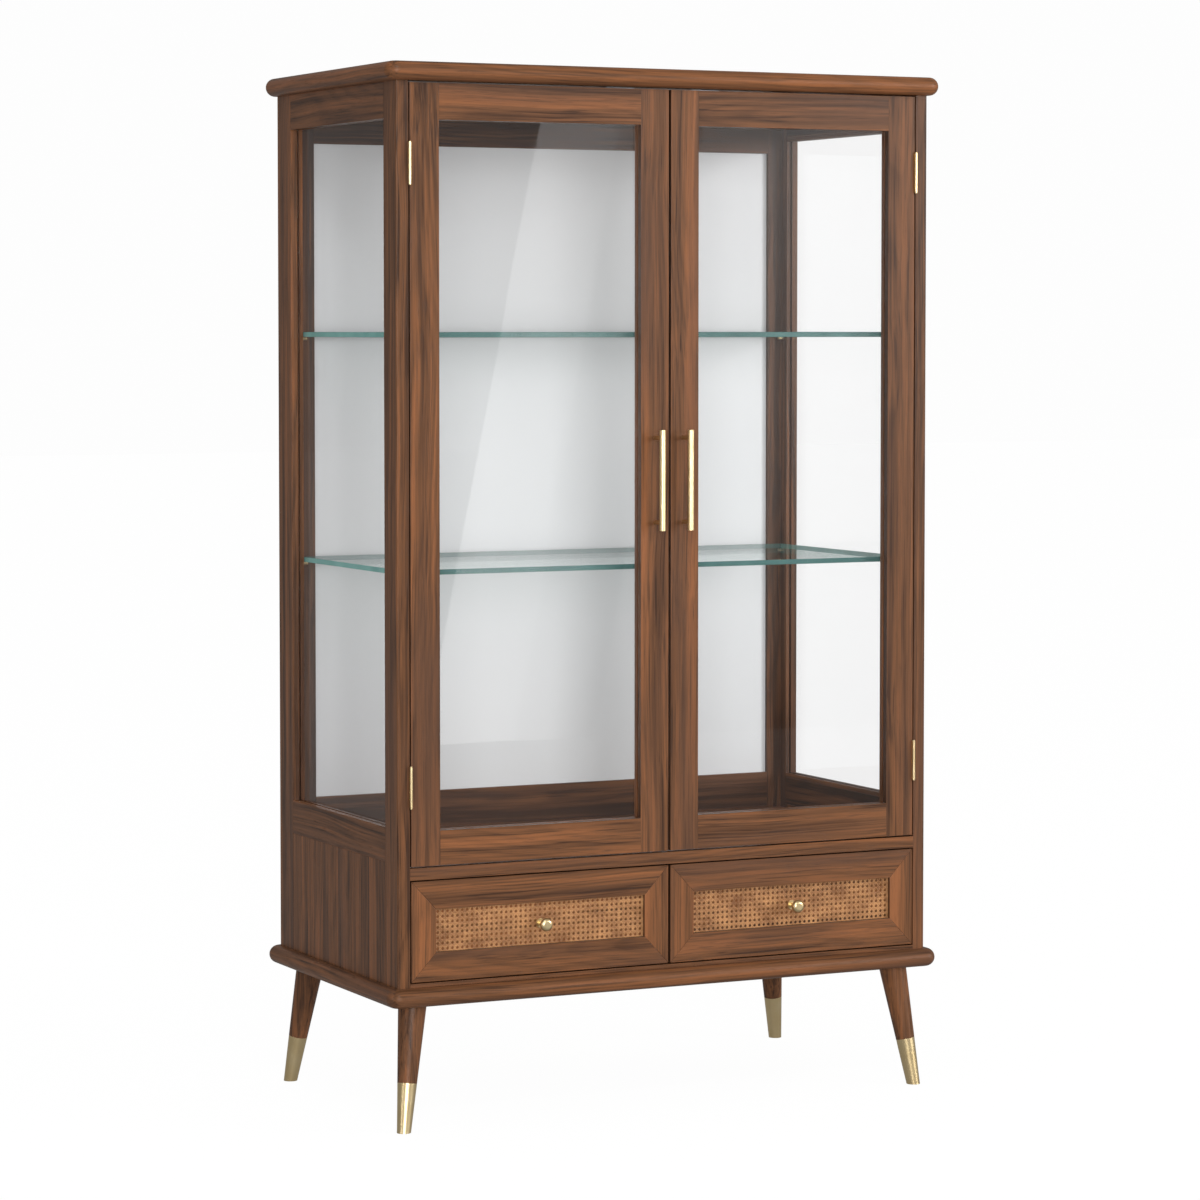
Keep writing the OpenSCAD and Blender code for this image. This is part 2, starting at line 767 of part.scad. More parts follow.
module drawer_front(side) {
  color(walnut) on_side(side) {
    difference() {
      translate([0, drawer_back_y, 0]) rotate([90, 0, 0]) linear_extrude(drawer_front_t) {
        drawer_front_rail(drawer_z, cane_z[0]);
        drawer_front_rail(drawer_top_z, cane_z[1]);
        drawer_front_stile(front_x[0], cane_x[0]);
        drawer_front_stile(front_x[1], cane_x[1]);
      }
      cane_recess(cane_y, drawer_back_y + slop, 0);
    }
    difference() {
      cane_recess(cane_y + cane_t, drawer_back_y, cane_clearance);
      knob_bore();
    }
  }
}

module knob_bore() {
  bar_y(front_y - slop, drawer_back_y + box_t + slop, knob_x, knob_z, fitting_screw_d);
}

module drawer_cane(side) {
  color(cane_straw) on_side(side) difference() {
    cane_recess(cane_y, cane_y + cane_t, cane_clearance);
    knob_bore();
  }
}

module drawer_box(side) {
  y = [drawer_back_y, drawer_back_y + box_d];
  z1 = box_z + box_h;
  end_x = [box_x[0] + box_t + seam, box_x[1] - box_t - seam];
  color(walnut_box) on_side(side) {
    difference() {
      union() {
        for (x = [box_x[0], box_x[1] - box_t]) block([x, y[0], box_z], [x + box_t, y[1], z1]);
        for (y0 = [y[0], y[1] - box_t]) block([end_x[0], y0, box_z], [end_x[1], y0 + box_t, z1]);
      }
      drawer_bottom_blank(0);
      knob_bore();
    }
    drawer_bottom_blank(seam);
  }
}

// The drawer's bottom, which is also its groove when the clearance is nothing.
module drawer_bottom_blank(clearance) {
  reach = box_groove - clearance;
  z = box_z + box_bottom_rise;
  block(
    [box_x[0] + box_t - reach, drawer_back_y + box_t - reach, z + clearance],
    [box_x[1] - box_t + reach, drawer_back_y + box_d - box_t + reach,
      z + box_bottom_t - clearance]);
}

module drawer_knob(side) {
  screw_grip = 10;
  head_r = knob_d / 2;
  edge = knob_head_h / 2;
  color(brass) on_side(side) {
    difference() {
      translate([knob_x, cane_y, knob_z]) rotate([90, 0, 0]) {
        cylinder(h = knob_reach - edge, d = knob_stem_d);
        cylinder(h = 2, d = knob_stem_d + 6);
        translate([0, 0, knob_reach - edge]) rotate_extrude() {
          translate([0, -edge]) square([head_r - edge, 2 * edge]);
          translate([head_r - edge, 0]) intersection() {
            circle(r = edge);
            translate([0, -edge]) square([edge, 2 * edge]);
          }
        }
      }
      bar_y(cane_y - screw_grip - screw_play, cane_y + slop,
        knob_x, knob_z, fitting_screw_d + 2 * screw_play);
    }
    fitting_screw(knob_x, cane_y - screw_grip, drawer_back_y + box_t, knob_z);
  }
}

// --- Drawer slides: outer member on the case, middle member, inner member on the drawer

// A channel section along Y: its web spans x0 to x1 and its lips reach x_lip.
module slide_channel(x_web, x_lip, height, x_side) {
  translate([0, drawer_back_y + divider_gap + slide_l, 0]) rotate([90, 0, 0])
    linear_extrude(slide_l) {
      x_in = x_web + x_side * slide_steel;
      web = [min(x_web, x_in), max(x_web, x_in)];
      lip = [min(x_web, x_lip), max(x_web, x_lip)];
      translate([web[0], slide_z - height / 2]) square([web[1] - web[0], height]);
      for (z = [slide_z - height / 2, slide_z + height / 2 - slide_steel])
        translate([lip[0], z]) square([lip[1] - lip[0], slide_steel]);
    }
}

module slide_outers() {
  color(steel) for (side = [left, right]) on_side(side) for (wall = slide_walls)
    slide_channel(wall[0], wall[0] + wall[1] * slide_lip, slide_h, wall[1]);
}

module slide_middles(side) {
  web = slide_steel + slide_play;
  color(steel) on_side(side) for (wall = slide_walls)
    slide_channel(wall[0] + wall[1] * web, wall[0] + wall[1] * slide_lip, slide_middle_h, wall[1]);
}

module drawer_slides(side) {
  web = 2 * (slide_steel + slide_play) + slide_play;
  color(steel) on_side(side) for (wall = slide_walls)
    slide_channel(wall[0] + wall[1] * slide_space, wall[0] + wall[1] * web, slide_inner_h, -wall[1]);
}

top_board();
base_board();
front_post(left);  // left_front_post
front_post(right);  // right_front_post
rear_post(left);  // left_rear_post
rear_post(right);  // right_rear_post
side_rails(left);  // left_side_rails
side_rails(right);  // right_side_rails
side_panel(left);  // left_side_panel
side_panel(right);  // right_side_panel
side_glass(left);  // left_side_glass
side_glass(right);  // right_side_glass
side_glass_beads();
deck_board();
drawer_sill();
drawer_divider();
back_frame();
back_panel();
lower_back_panel();
shelf(shelf_zs[0]);  // lower_shelf
shelf(shelf_zs[1]);  // upper_shelf
shelf_pins();
leg(left, -1);  // left_front_leg
leg(right, -1);  // right_front_leg
leg(left, 1);  // left_rear_leg
leg(right, 1);  // right_rear_leg
ferrules();
leg_bolts();
hinge_post_leaves();
hinge_pins();
hinge_post_screws();
door_catches();
slide_outers();
door_stiles(left);  // left_door_stiles
door_rails(left);  // left_door_rails
door_glass(left);  // left_door_glass
door_beads(left);  // left_door_beads
door_handle(left);  // left_door_handle
door_hinge_leaves(left);  // left_door_hinge_leaves
door_strike(left);  // left_door_strike
door_stiles(right);  // right_door_stiles
door_rails(right);  // right_door_rails
door_glass(right);  // right_door_glass
door_beads(right);  // right_door_beads
door_handle(right);  // right_door_handle
door_hinge_leaves(right);  // right_door_hinge_leaves
door_strike(right);  // right_door_strike
drawer_front(left);  // left_drawer_front
drawer_cane(left);  // left_drawer_cane
drawer_box(left);  // left_drawer_box
drawer_knob(left);  // left_drawer_knob
drawer_slides(left);  // left_drawer_slides
slide_middles(left);  // left_slide_middles
drawer_front(right);  // right_drawer_front
drawer_cane(right);  // right_drawer_cane
drawer_box(right);  // right_drawer_box
drawer_knob(right);  // right_drawer_knob
drawer_slides(right);  // right_drawer_slides
slide_middles(right);  // right_slide_middles
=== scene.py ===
"""China cabinet in oiled walnut: glazed doors and sides, cane drawer fronts, brass fittings."""

import json
import math
import random

import bmesh
import bpy
from mathutils import Matrix, Vector

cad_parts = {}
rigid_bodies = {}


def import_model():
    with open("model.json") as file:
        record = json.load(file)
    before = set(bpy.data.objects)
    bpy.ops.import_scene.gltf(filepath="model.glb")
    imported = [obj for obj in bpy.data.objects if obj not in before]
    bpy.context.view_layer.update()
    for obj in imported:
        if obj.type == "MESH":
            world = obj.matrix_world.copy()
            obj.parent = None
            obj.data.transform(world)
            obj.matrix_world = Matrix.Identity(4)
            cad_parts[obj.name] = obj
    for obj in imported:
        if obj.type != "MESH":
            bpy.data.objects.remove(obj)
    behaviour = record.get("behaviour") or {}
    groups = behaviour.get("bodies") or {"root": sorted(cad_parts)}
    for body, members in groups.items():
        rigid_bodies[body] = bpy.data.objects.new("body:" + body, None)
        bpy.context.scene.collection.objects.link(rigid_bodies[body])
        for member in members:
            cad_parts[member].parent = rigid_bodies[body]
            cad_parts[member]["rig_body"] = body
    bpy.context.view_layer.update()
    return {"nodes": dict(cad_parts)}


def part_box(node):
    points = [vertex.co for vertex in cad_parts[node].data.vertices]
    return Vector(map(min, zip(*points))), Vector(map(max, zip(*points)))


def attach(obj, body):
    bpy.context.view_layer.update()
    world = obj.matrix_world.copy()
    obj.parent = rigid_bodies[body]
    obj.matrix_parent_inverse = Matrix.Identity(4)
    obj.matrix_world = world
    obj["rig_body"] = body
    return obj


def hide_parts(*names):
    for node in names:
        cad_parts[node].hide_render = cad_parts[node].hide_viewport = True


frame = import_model()


# --- Camera -----------------------------------------------------------------------------
# A long lens on a stand at the front left, some six metres off and a little above the
# middle of the cabinet, looking slightly down.
CAMERA_PLACE = (-2.7281, -5.5809, 1.1915)
CAMERA_TURN = (87.111, 0.0, -26.033)  # degrees
FOCAL_LENGTH = 118.68  # mm, on a sensor 36 mm wide
SENSOR_WIDTH = 36.0
LENS_SHIFT = -0.06
FARTHEST_SEEN = 60.0

camera_data = bpy.data.cameras.new("camera")
camera_data.lens = FOCAL_LENGTH
camera_data.sensor_width = SENSOR_WIDTH
camera_data.shift_y = LENS_SHIFT
camera_data.clip_end = FARTHEST_SEEN
camera = bpy.data.objects.new("camera", camera_data)
camera.location = CAMERA_PLACE
camera.rotation_euler = [math.radians(a) for a in CAMERA_TURN]
bpy.context.scene.collection.objects.link(camera)
bpy.context.scene.camera = camera
bpy.context.scene.view_settings.view_transform = "Standard"


# --- Studio -----------------------------------------------------------------------------
# A white sweep, two large soft lights far off on both sides of the camera, a narrow one
# overhead and a narrow upright one on the left for highlights, and two reflector cards.
BACKDROP = 0.985  # what the camera sees of the sweep
SKY_LIGHT = 0.54  # what the sweep gives the cabinet
FRONT_GLOSS = 0.55  # how bright the studio is in reflections, before the cabinet
REAR_GLOSS = 0.26  # and behind it
GLOSS_TURN = (-0.5, 0.4)  # the forward part of a direction where one passes into the other
FLOOR_GLOW = 0.97  # what the camera sees of the floor
FLOOR_BOUNCE = 0.52  # what the floor gives the cabinet
FLOOR_GLOSS = 0.28  # how bright the floor is in reflections
FLOOR_REACH = 30.0
PAPER = (0.04, 0.04, 0.04, 1)
CARD_GLOW = 2.2
CARD_FOOT = 0.02
CARD_HEAD = 1.90
CARD_LINE = -5.0  # where the cards stand, in front of the cabinet
LAMPS = (  # name, place, what it aims at, width, height, watts
    ("key_light", (6.4, -6.0, 2.3), (0.0, 0.0, 0.8), 4.0, 3.0, 390),
    ("fill_light", (-3.0, -8.2, 1.5), (0.0, 0.0, 0.8), 4.0, 2.6, 350),
    ("top_light", (-2.2, -5.4, 5.6), (0.0, 0.0, 0.8), 2.6, 0.22, 110),
    ("strip_light", (-3.7, -1.4, 0.9), (0.0, 0.0, 0.5), 0.16, 2.4, 13))


def add_node(tree, kind, inputs=None, **settings):
    """Adds one node; inputs are values or sockets to link, by name or by number."""
    node = tree.nodes.new(kind)
    for name, value in settings.items():
        setattr(node, name, value)
    for key, value in (inputs or {}).items():
        if isinstance(value, bpy.types.NodeSocket):
            tree.links.new(value, node.inputs[key])
        else:
            node.inputs[key].default_value = value
    return node


def new_material(name):
    """An empty node material and its output node."""
    material = bpy.data.materials.new(name)
    material.use_nodes = True
    material.node_tree.nodes.clear()
    return material, add_node(material.node_tree, "ShaderNodeOutputMaterial")


def sweep_light():
    """An even white room, brighter in front of the cabinet than behind it in reflections."""
    world = bpy.data.worlds.new("white_sweep")
    bpy.context.scene.world = world
    world.use_nodes = True
    tree = world.node_tree
    tree.nodes.clear()
    path = add_node(tree, "ShaderNodeLightPath")
    way = add_node(tree, "ShaderNodeSeparateXYZ", {0: add_node(
        tree, "ShaderNodeTexCoord").outputs["Generated"]})
    room = add_node(tree, "ShaderNodeMapRange", {
        "Value": way.outputs["Y"], "From Min": GLOSS_TURN[0], "From Max": GLOSS_TURN[1],
        "To Min": FRONT_GLOSS, "To Max": REAR_GLOSS})
    gloss = add_node(tree, "ShaderNodeMix", {0: path.outputs["Is Glossy Ray"],
                                             2: SKY_LIGHT, 3: room.outputs[0]})
    shown = add_node(tree, "ShaderNodeMix", {0: path.outputs["Is Camera Ray"],
                                             2: gloss.outputs[0], 3: BACKDROP})
    back = add_node(tree, "ShaderNodeBackground", {"Strength": shown.outputs[0],
                                                   "Color": (1, 1, 1, 1)})
    out = add_node(tree, "ShaderNodeOutputWorld")
    tree.links.new(back.outputs[0], out.inputs["Surface"])


def soft_light(name, place, aim, width, height, watts):
    """A lamp with a cloth front, turned to what it aims at."""
    data = bpy.data.lights.new(name, "AREA")
    data.shape = "RECTANGLE"
    data.size, data.size_y = width, height
    data.energy = watts
    lamp = bpy.data.objects.new(name, data)
    lamp.location = place
    lamp.rotation_euler = (Vector(aim) - Vector(place)).to_track_quat("-Z", "Y").to_euler()
    lamp.visible_camera = False
    bpy.context.scene.collection.objects.link(lamp)


def plain_floor():
    """The part of the sweep that the cabinet stands on, glowing so that shadows stay faint."""
    mesh = bpy.data.meshes.new("floor")
    corners = [(x * FLOOR_REACH, y * FLOOR_REACH, 0) for x, y in ((-1, -1), (1, -1), (1, 1), (-1, 1))]
    mesh.from_pydata(corners, [], [(0, 1, 2, 3)])
    material, out = new_material("pale_paper_sweep")
    tree = material.node_tree
    path = add_node(tree, "ShaderNodeLightPath")
    bounce = add_node(tree, "ShaderNodeMix", {0: path.outputs["Is Glossy Ray"],
                                              2: FLOOR_BOUNCE, 3: FLOOR_GLOSS})
    glow = add_node(tree, "ShaderNodeMix", {0: path.outputs["Is Camera Ray"],
                                            2: bounce.outputs[0], 3: FLOOR_GLOW})
    lit = add_node(tree, "ShaderNodeEmission", {"Strength": glow.outputs[0]})
    paper = add_node(tree, "ShaderNodeBsdfDiffuse", {"Color": PAPER})
    both = add_node(tree, "ShaderNodeAddShader", {0: lit.outputs[0], 1: paper.outputs[0]})
    tree.links.new(both.outputs[0], out.inputs["Surface"])
    mesh.materials.append(material)
    floor = bpy.data.objects.new("floor", mesh)
    bpy.context.scene.collection.objects.link(floor)


def reflector_cards():
    """Cloth panels that show only in polished surfaces: a leaning band for the left door,
    brightest at its left edge, and a broad one, bright at the top, for the right door."""
    # Each panel: left and right at the foot, the same at the head, glow at those four.
    panels = (((1.67, 1.95), (2.06, 2.31), (1.0, 0.95, 0.95, 1.0)),
              ((1.95, 2.06), (2.31, 2.43), (0.75, 0.60, 0.60, 0.75)),
              ((2.06, 2.20), (2.43, 2.58), (0.55, 0.0, 0.0, 0.55)),
              ((2.45, 3.40), (2.50, 3.40), (0.05, 0.05, 0.80, 0.70)))
    corners, faces, glows = [], [], []
    for low_x, high_x, glow in panels:
        first = len(corners)
        corners += [(low_x[0], CARD_LINE, CARD_FOOT), (low_x[1], CARD_LINE, CARD_FOOT),
                    (high_x[1], CARD_LINE, CARD_HEAD), (high_x[0], CARD_LINE, CARD_HEAD)]
        faces.append(range(first, first + 4))
        glows += glow
    mesh = bpy.data.meshes.new("reflector_cards")
    mesh.from_pydata(corners, [], faces)
    layer = mesh.attributes.new("glow", "FLOAT", "POINT")
    layer.data.foreach_set("value", glows)
    material, out = new_material("reflector_cloth")
    tree = material.node_tree
    glow = add_node(tree, "ShaderNodeAttribute", attribute_name="glow").outputs["Fac"]
    power = add_node(tree, "ShaderNodeMath", {0: glow, 1: CARD_GLOW}, operation="MULTIPLY")
    lit = add_node(tree, "ShaderNodeEmission", {"Strength": power.outputs[0]})
    tree.links.new(lit.outputs[0], out.inputs["Surface"])
    mesh.materials.append(material)
    cards = bpy.data.objects.new("reflector_cards", mesh)
    for kind in ("camera", "diffuse", "transmission", "shadow"):
        setattr(cards, "visible_" + kind, False)
    bpy.context.scene.collection.objects.link(cards)


sweep_light()
plain_floor()
for lamp in LAMPS:
    soft_light(*lamp)
reflector_cards()


# --- Top and base boards ----------------------------------------------------------------
# Solid American walnut boards with a full bullnose edge and rounded corners, sanded and
# finished with a satin hard-wax oil. The top sits on the side frames, the base under them.
WALNUT_DARK = "#3A261A"
WALNUT_MID = "#66432B"
WALNUT_LIGHT = "#855434"
WALNUT_PURPLE = "#50392D"
ARRIS = 0.0005  # how far the long arrises are sanded off
SHORT_ARRIS = 0.065  # edges up to this length stay as cut
MERGE = 1e-5
FLAT_TURN = math.radians(0.3)
ARRIS_TURN = math.radians(40)
CURVE_TURN = math.radians(26)
BROAD_TURN = math.radians(0.5)
BROAD_FACE = 4e-4  # square metres
FRONT_DEPTH = 0.001


def linear(hex_colour):
    """An sRGB hex colour as the linear RGBA that a shader takes."""
    channels = [int(hex_colour[i:i + 2], 16) / 255 for i in (1, 3, 5)]
    return [c / 12.92 if c <= 0.04045 else ((c + 0.055) / 1.055) ** 2.4 for c in channels] + [1.0]


def oiled_wood(name, dark, mid, light, shade, figure=1.0, gloss_roughness=0.33):
    """Open-pored wood under satin oil. It reads each board's own grain coordinates: growth
    rings wander along it, broad brown streaks follow them, and fine fibres and pores break
    the sheen. A pattern's scale is its repeats in a metre along and across the grain."""
    material, out = new_material(name)
    tree = material.node_tree
    grain = add_node(tree, "ShaderNodeAttribute", attribute_name="grain").outputs["Vector"]
    tone = add_node(tree, "ShaderNodeAttribute", attribute_name="tone").outputs["Fac"]
    # The edge attribute marks the eased arrises, which get a painted highlight.
    arris_highlight = add_node(tree, "ShaderNodeAttribute", attribute_name="edge").outputs["Fac"]

    def noise(vector, scale, detail, roughness=0.5):
        place = add_node(tree, "ShaderNodeMapping", {"Vector": vector, "Scale": scale})
        return add_node(tree, "ShaderNodeTexNoise", {
            "Vector": place.outputs[0], "Scale": 1.0, "Detail": detail, "Roughness": roughness})

    def maths(operation, *values, clamp=False):
        return add_node(tree, "ShaderNodeMath", dict(enumerate(values)),
                        operation=operation, use_clamp=clamp).outputs[0]

    def spread(value, low, high):
        return add_node(tree, "ShaderNodeMapRange", {
            "Value": value, "From Min": low, "From Max": high}).outputs[0]

    # The grain drifts sideways by about 6 mm over each 400 mm of length.
    drift = noise(grain, (2.4, 7.0, 7.0), 2.0).outputs["Color"]
    drift = add_node(tree, "ShaderNodeVectorMath", {0: drift, 1: (0.5, 0.5, 0.5)},
                     operation="SUBTRACT")
    drift = add_node(tree, "ShaderNodeVectorMath", {
        0: drift.outputs[0], 1: (0.0, 0.024, 0.024), 2: grain}, operation="MULTIPLY_ADD").outputs[0]

    # Growth rings, 6 to 15 mm apart on a flat-sawn face, darkest at their late wood.
    heart = noise(drift, (0.8, 9.0, 9.0), 1.0).outputs["Fac"]
    ring = maths("FRACT", maths("MULTIPLY", heart, 24.0 * figure))
    ring = add_node(tree, "ShaderNodeValToRGB", {"Fac": ring})
    ring.color_ramp.interpolation = "EASE"
    ring.color_ramp.elements[0].color = (0.75, 0.75, 0.75, 1)
    ring.color_ramp.elements[1].color = (0.75, 0.75, 0.75, 1)
    ring.color_ramp.elements.new(0.25).color = (1, 1, 1, 1)
    ring.color_ramp.elements.new(0.85).color = (0, 0, 0, 1)
    # Streaks of colour 20 mm wide, lines 5 mm wide, dark veins 3 mm wide, fibres 2 mm wide.
    streak = spread(noise(drift, (0.7, 50.0, 50.0), 4.0, 0.60).outputs["Fac"], 0.36, 0.64)
    line = spread(noise(drift, (1.6, 190.0, 190.0), 3.0, 0.6).outputs["Fac"], 0.32, 0.68)
    vein = spread(noise(drift, (3.2, 360.0, 360.0), 2.0).outputs["Fac"], 0.45, 0.34)
    fibre = noise(grain, (9.0, 420.0, 420.0), 3.0, 0.6).outputs["Fac"]
    # Walnut's pores are 0.2 mm wide; they are drawn 0.8 mm wide so that they show.
    pore = spread(noise(grain, (38.0, 1200.0, 1200.0), 1.0).outputs["Fac"], 0.60, 0.70)

    # How much each of them counts in the depth of colour, from dark at 0 to light at 1.
    depth = maths("MULTIPLY", streak, 0.42)
    depth = maths("MULTIPLY_ADD", line, 0.32, depth)
    depth = maths("MULTIPLY_ADD", ring.outputs["Color"], 0.12, depth)
    depth = maths("MULTIPLY_ADD", fibre, 0.26, depth)
    depth = maths("MULTIPLY_ADD", vein, -0.24, depth)
    depth = maths("ADD", depth, tone, clamp=True)
    ramp = add_node(tree, "ShaderNodeValToRGB", {"Fac": depth})
    ramp.color_ramp.elements[0].position = 0.16
    ramp.color_ramp.elements[0].color = linear(dark)
    ramp.color_ramp.elements[1].position = 0.92
    ramp.color_ramp.elements[1].color = linear(light)
    ramp.color_ramp.elements.new(0.55).color = linear(mid)
    # The heartwood turns purplish in broad patches, and the pores hold dark oil.
    patch = spread(noise(drift, (1.5, 15.0, 15.0), 2.0).outputs["Fac"], 0.50, 0.72)
    colour = add_node(tree, "ShaderNodeMix", {
        0: maths("MULTIPLY", patch, 0.60), 6: ramp.outputs["Color"], 7: linear(shade)},
        data_type="RGBA")
    colour = add_node(tree, "ShaderNodeMix", {
        0: maths("MULTIPLY", pore, 0.35), 6: colour.outputs[2], 7: linear(dark)},
        data_type="RGBA")
    # The eased arrises are painted a little lighter than the faces, a painted highlight along them.
    colour = add_node(tree, "ShaderNodeMix", {
        0: maths("MULTIPLY", arris_highlight, 0.15), 6: colour.outputs[2], 7: linear(light)},
        data_type="RGBA")

    sheen = maths("MULTIPLY_ADD", fibre, 0.14, gloss_roughness - 0.07)
    sheen = maths("MULTIPLY_ADD", pore, 0.15, sheen)
    height = maths("MULTIPLY_ADD", pore, -0.8, fibre)
    relief = add_node(tree, "ShaderNodeBump", {"Height": height, "Strength": 0.22,
                                               "Distance": 0.0004})
    wood = add_node(tree, "ShaderNodeBsdfPrincipled", {
        "Base Color": colour.outputs[2], "Roughness": sheen, "Normal": relief.outputs[0],
        "IOR": 1.45, "Specular IOR Level": 0.18})
    tree.links.new(wood.outputs[0], out.inputs["Surface"])
    return material


walnut = oiled_wood("oiled_walnut", WALNUT_DARK, WALNUT_MID, WALNUT_LIGHT, WALNUT_PURPLE)


def boards_of(bm):
    """The faces of each separate board in the mesh."""
    unseen, boards = set(bm.faces), []
    for first in bm.faces:
        if first not in unseen:
            continue
        unseen.discard(first)
        board, front = [first], [first]
        while front:
            for edge in front.pop().edges:
                for face in edge.link_faces:
                    if face in unseen:
                        unseen.discard(face)
                        board.append(face)
                        front.append(face)
        boards.append(board)
    return boards


def size_of(faces):
    """Lowest corner and size of some faces."""
    points = [v.co for face in faces for v in face.verts]
    low = Vector([min(p[i] for p in points) for i in range(3)])
    return low, Vector([max(p[i] for p in points) for i in range(3)]) - low


def lay_grain(bm, seed, along=None, stave=None, lipped=False, tint=0.0, edge_tint=0.0,
              face_tint=0.0):
    """Gives every board, or every stave of one, its own run of grain and tone. A lipped
    board's short ends are closed by strips that run the other way, mitred at the corners.
    Tints lighten or darken the whole; one darkens its faces that look sideways, up or down,
    as painted shade in the gaps between parts, and one its foremost face, as painted shade."""
    grain = bm.loops.layers.float_vector.new("grain")
    tone = bm.loops.layers.float.new("tone")
    chance = random.Random(seed)
    foremost = min(v.co.y for v in bm.verts) + FRONT_DEPTH
    for board in boards_of(bm):
        low, size = size_of(board)
        axis = max(range(3), key=lambda i: size[i]) if along is None else along
        across = [i for i in range(3) if i != axis]
        wide = max(across, key=lambda i: size[i])
        places = [int((face.calc_center_median()[wide] - low[wide]) / stave) if stave else 0
                  for face in board]
        # Drawn in the staves' own order, so that each has the same grain on every run.
        staves = {place: (chance.uniform(0, 40), chance.uniform(0, 9), chance.uniform(0, 9),
                          chance.uniform(-0.09, 0.05)) for place in sorted(set(places))}
        for face, place in zip(board, places):
            shift = staves[place]
            # Sideways, upward and downward faces take painted shade, for the gaps between parts.
            shade = shift[3] + tint + (edge_tint if abs(face.normal.y) < 0.5 else 0.0)
            # The foremost face takes painted shade where it lies behind other parts.
            if face.calc_center_median().y < foremost:
                shade += face_tint
            order = [axis] + across
            if lipped and abs(face.normal.x) > max(abs(face.normal.y), 0.01):
                order = [1, 2, 0]
            for loop in face.loops:
                spot = loop.vert.co
                loop[grain] = [spot[order[i]] + shift[i] for i in range(3)]
                loop[tone] = shade


def mark_sharp(bm):
    """Smooth shading on curves only: broad flat faces keep their own normal."""
    for face in bm.faces:
        face.smooth = True
    for edge in bm.edges:
        if len(edge.link_faces) != 2:
            continue
        turn = edge.calc_face_angle(0.0)
        broad = max(face.calc_area() for face in edge.link_faces) > BROAD_FACE
        edge.smooth = not (turn > CURVE_TURN or (broad and turn > BROAD_TURN))


def add_piece(mesh, node, slot, *materials):
    """A finished mesh as a piece that takes the CAD node's place on its body."""
    for material in materials:
        mesh.materials.append(material)
    piece = bpy.data.objects.new(mesh.name, mesh)
    bpy.context.scene.collection.objects.link(piece)
    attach(piece, frame["nodes"][node]["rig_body"])
    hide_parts(node)


def wood_piece(node, material=walnut, slot="walnut", ease=ARRIS, shortest=SHORT_ARRIS,
               along=None, stave=None, **look):
    """The node's boards with their long arrises eased and their grain laid."""
    bm = bmesh.new()
    bm.from_mesh(frame["nodes"][node].data)
    bmesh.ops.remove_doubles(bm, verts=bm.verts, dist=MERGE)
    bmesh.ops.dissolve_limit(bm, angle_limit=FLAT_TURN, verts=bm.verts, edges=bm.edges)
    # Marks the eased arrises for the painted highlight along them.
    arris_highlight = bm.loops.layers.float.new("edge")
    arrises = [e for e in bm.edges if len(e.link_faces) == 2 and e.is_convex
               and e.calc_face_angle(0.0) > ARRIS_TURN and e.calc_length() > shortest]
    if ease and arrises:
        made = bmesh.ops.bevel(bm, geom=arrises, offset=ease, offset_type="OFFSET", segments=2,
                               profile=0.5, affect="EDGES", clamp_overlap=False)
        for face in made["faces"]:
            for loop in face.loops:
                loop[arris_highlight] = 1.0
    if stave:
        low, size = size_of(bm.faces)
        wide = max((i for i in range(3) if i != along), key=lambda i: size[i])
        normal = [0.0, 0.0, 0.0]
        normal[wide] = 1.0
        for i in range(1, math.ceil(size[wide] / stave)):
            cut = low.copy()
            cut[wide] += i * stave
            bmesh.ops.bisect_plane(bm, geom=bm.verts[:] + bm.edges[:] + bm.faces[:],
                                   plane_co=cut, plane_no=normal)
    lay_grain(bm, node, along, stave, **look)
    mark_sharp(bm)
    mesh = bpy.data.meshes.new(node + "_wood")
    bm.to_mesh(mesh)
    bm.free()
    add_piece(mesh, node, slot, material)


# The top board is lightened throughout as painted light, for the light on its bullnose.
wood_piece("top_board", ease=0, lipped=True, tint=0.22)
wood_piece("base_board", ease=0, lipped=True)


# --- Side frames ------------------------------------------------------------------------
# Walnut posts and rails joined into a frame on each side, a stave-glued walnut panel below
# and a float-glass window above, held in its rebate by thin walnut beads.
STAVE_WIDTH = 0.0617
GLASS_TINT = "#FEFEFE"
FACE_ON_MIRROR = 0.024
GLANCING_MIRROR = 0.5


def float_glass(name, tint):
    """Clear soda-lime float glass: polished, so it mirrors little face on and much at a
    glancing angle; it is very slightly wavy."""
    material, out = new_material(name)
    tree = material.node_tree
    place = add_node(tree, "ShaderNodeTexCoord").outputs["Object"]
    wave = add_node(tree, "ShaderNodeTexNoise", {"Vector": place, "Scale": 3.0, "Detail": 1.0})
    relief = add_node(tree, "ShaderNodeBump", {"Height": wave.outputs["Fac"], "Strength": 0.15,
                                               "Distance": 0.002})
    smear = add_node(tree, "ShaderNodeTexNoise", {"Vector": place, "Scale": 9.0, "Detail": 4.0})
    polish = add_node(tree, "ShaderNodeMapRange", {"Value": smear.outputs["Fac"], "To Min": 0.0,
                                                   "To Max": 0.02})
    facing = add_node(tree, "ShaderNodeLayerWeight", {"Blend": 0.5}).outputs["Facing"]
    steep = add_node(tree, "ShaderNodeMath", {0: facing, 1: 5.0}, operation="POWER").outputs[0]
    mirror = add_node(tree, "ShaderNodeMath", {0: steep, 1: GLANCING_MIRROR, 2: FACE_ON_MIRROR},
                      operation="MULTIPLY_ADD")
    clear = add_node(tree, "ShaderNodeBsdfTransparent", {"Color": linear(tint)})
    gloss = add_node(tree, "ShaderNodeBsdfAnisotropic", {
        "Color": (1, 1, 1, 1), "Roughness": polish.outputs[0], "Normal": relief.outputs[0]})
    both = add_node(tree, "ShaderNodeMixShader", {0: mirror.outputs[0], 1: clear.outputs[0],
                                                  2: gloss.outputs[0]})
    tree.links.new(both.outputs[0], out.inputs["Surface"])
    return material


